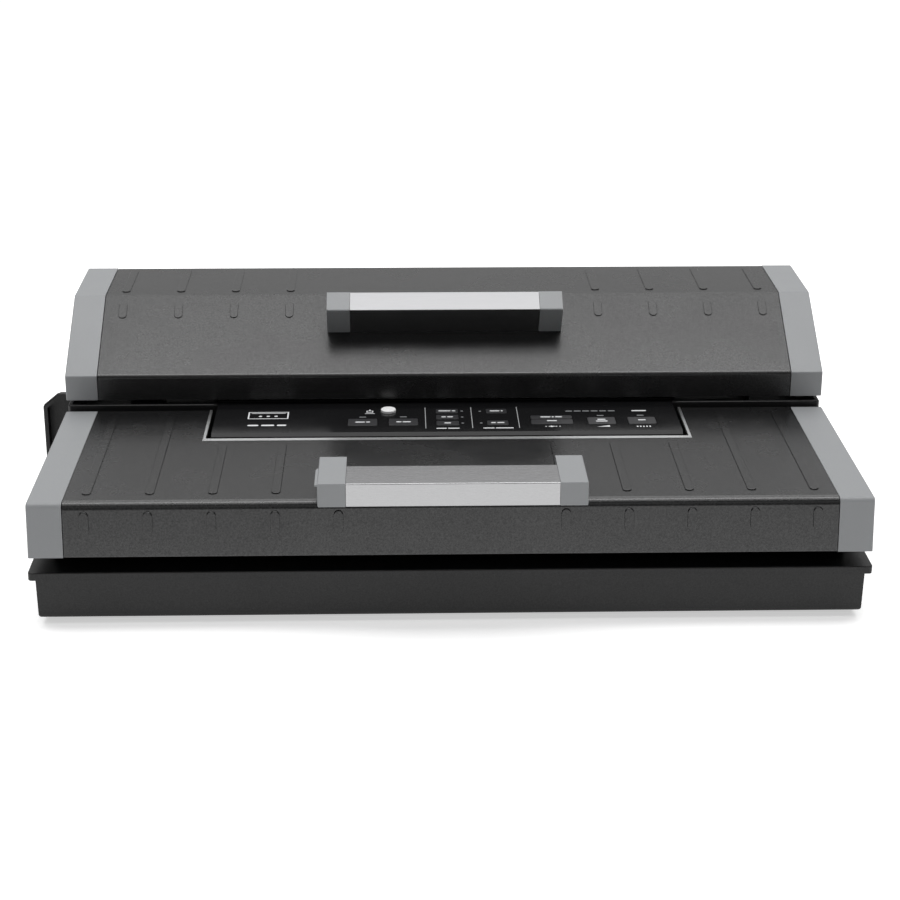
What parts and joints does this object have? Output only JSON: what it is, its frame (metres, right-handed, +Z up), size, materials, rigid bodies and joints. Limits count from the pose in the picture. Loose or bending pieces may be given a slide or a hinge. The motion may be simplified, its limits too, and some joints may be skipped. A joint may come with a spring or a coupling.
{
  "type": "vacuum packing machine",
  "caption": "Wide chamberless vacuum packing machine with a hinged sealing lid and latch handle, a keyed console and a hinged film roll compartment behind it.",
  "frame": {"origin": "bottom centre of the bounding box, on the surface that the feet stand on", "axes": "+X to the user's right, +Y towards the back, +Z up"},
  "size_m": [0.5156, 0.304, 0.147],
  "materials": {
    "black_abs": "fine moulded black ABS",
    "grained_lid": "spark-eroded dark grey ABS",
    "grey_cap": "satin grey ABS",
    "brushed_bar": "brushed anodised",
    "silver_trim": "satin metallised",
    "panel_film": "satin black overlay",
    "key_rubber": "dark grey keys",
    "white_button": "white gloss",
    "soft_rubber": "moulded rubber",
    "silicone": "red silicone",
    "circuit": "green circuit board",
    "steel": "zinc plated",
    "pump_cast": "cast",
    "copper_core": "laminated and varnished",
    "ptfe": "woven coated tape",
    "bakelite": "phenolic",
    "clear_film": "wound polyamide film",
    "cardboard": "paper tube"
  },
  "bodies": {
    "base": {"base_tub": "black_abs", "base_screws": "steel", "rubber_feet": "soft_rubber", "base_deck": "black_abs", "rear_housing": "black_abs", "console_housing": "black_abs", "control_panel": "panel_film", "key_board": "circuit", "main_board": "circuit", "vacuum_pump": "pump_cast", "transformer": "copper_core", "solenoid_valve": "black_abs", "vacuum_hose": "soft_rubber", "sealing_bar": "bakelite", "heating_wire": "steel", "seal_tape": "ptfe", "lower_gasket": "soft_rubber", "drip_tray": "black_abs", "latch_catches": "steel", "lid_microswitch": "black_abs", "power_inlet": "black_abs", "hose_port": "black_abs", "side_bracket": "black_abs", "roll_cradles": "black_abs", "cutter_rail": "black_abs"},
    "front_lid": {"front_lid_shell": "grained_lid", "front_lid_cap_left": "grey_cap", "front_lid_cap_right": "grey_cap", "notch_trim": "silver_trim", "upper_gasket": "soft_rubber", "pressure_bar": "silicone", "latch_brackets": "grey_cap", "latch_bearings": "black_abs", "front_hinge_pins": "steel"},
    "latch": {"latch_bar": "brushed_bar", "latch_ends": "grey_cap", "latch_shaft": "steel", "latch_hooks": "steel"},
    "roll_lid": {"roll_lid_shell": "grained_lid", "roll_lid_cap_left": "grey_cap", "roll_lid_cap_right": "grey_cap", "roll_handle_bar": "brushed_bar", "roll_handle_ends": "grey_cap", "roll_hinge_pins": "steel"},
    "film": {"film_roll": "clear_film", "film_core": "cardboard"},
    "cutter": {"cutter_slider": "black_abs", "cutter_blade": "steel"},
    "power_button": {"power_button": "white_button"},
    "key_container": {"key_container": "key_rubber"},
    "key_marinate": {"key_marinate": "key_rubber"},
    "key_time_long": {"key_time_long": "key_rubber"},
    "key_time_medium": {"key_time_medium": "key_rubber"},
    "key_time_short": {"key_time_short": "key_rubber"},
    "key_vacuum_gentle": {"key_vacuum_gentle": "key_rubber"},
    "key_vacuum_normal": {"key_vacuum_normal": "key_rubber"},
    "key_vacuum_seal": {"key_vacuum_seal": "key_rubber"},
    "key_cancel": {"key_cancel": "key_rubber"},
    "key_pulse": {"key_pulse": "key_rubber"},
    "key_seal": {"key_seal": "key_rubber"}
  },
  "joints": [
    {"name": "front_lid_hinge", "type": "hinge", "parent": "base", "child": "front_lid", "pos_m": [0.00985, 0.0125, 0.0725], "axis": [-1, 0, 0], "range_deg": [0, 70]},
    {"name": "latch_pivot", "type": "hinge", "parent": "front_lid", "child": "latch", "pos_m": [0.00985, -0.116, 0.072], "axis": [-1, 0, 0], "range_deg": [0, 35]},
    {"name": "roll_lid_hinge", "type": "hinge", "parent": "base", "child": "roll_lid", "pos_m": [0.00985, 0.1455, 0.09], "axis": [-1, 0, 0], "range_deg": [0, 75]},
    {"name": "film_spin", "type": "hinge", "parent": "base", "child": "film", "pos_m": [0.00985, 0.095, 0.096], "axis": [1, 0, 0], "continuous": true},
    {"name": "cutter_slide", "type": "slide", "parent": "base", "child": "cutter", "axis": [1, 0, 0], "range_m": [0, 0.38]},
    {"name": "power_button_press", "type": "slide", "parent": "base", "child": "power_button", "axis": [0, 0, -1], "range_m": [0, 0.0012], "stiffness_N_per_m": 500},
    {"name": "key_container_press", "type": "slide", "parent": "base", "child": "key_container", "axis": [0, 0, -1], "range_m": [0, 0.0004], "stiffness_N_per_m": 600},
    {"name": "key_marinate_press", "type": "slide", "parent": "base", "child": "key_marinate", "axis": [0, 0, -1], "range_m": [0, 0.0004], "stiffness_N_per_m": 600},
    {"name": "key_time_long_press", "type": "slide", "parent": "base", "child": "key_time_long", "axis": [0, 0, -1], "range_m": [0, 0.0004], "stiffness_N_per_m": 600},
    {"name": "key_time_medium_press", "type": "slide", "parent": "base", "child": "key_time_medium", "axis": [0, 0, -1], "range_m": [0, 0.0004], "stiffness_N_per_m": 600},
    {"name": "key_time_short_press", "type": "slide", "parent": "base", "child": "key_time_short", "axis": [0, 0, -1], "range_m": [0, 0.0004], "stiffness_N_per_m": 600},
    {"name": "key_vacuum_gentle_press", "type": "slide", "parent": "base", "child": "key_vacuum_gentle", "axis": [0, 0, -1], "range_m": [0, 0.0004], "stiffness_N_per_m": 600},
    {"name": "key_vacuum_normal_press", "type": "slide", "parent": "base", "child": "key_vacuum_normal", "axis": [0, 0, -1], "range_m": [0, 0.0004], "stiffness_N_per_m": 600},
    {"name": "key_vacuum_seal_press", "type": "slide", "parent": "base", "child": "key_vacuum_seal", "axis": [0, 0, -1], "range_m": [0, 0.0004], "stiffness_N_per_m": 600},
    {"name": "key_cancel_press", "type": "slide", "parent": "base", "child": "key_cancel", "axis": [0, 0, -1], "range_m": [0, 0.0004], "stiffness_N_per_m": 600},
    {"name": "key_pulse_press", "type": "slide", "parent": "base", "child": "key_pulse", "axis": [0, 0, -1], "range_m": [0, 0.0004], "stiffness_N_per_m": 600},
    {"name": "key_seal_press", "type": "slide", "parent": "base", "child": "key_seal", "axis": [0, 0, -1], "range_m": [0, 0.0004], "stiffness_N_per_m": 600}
  ]
}
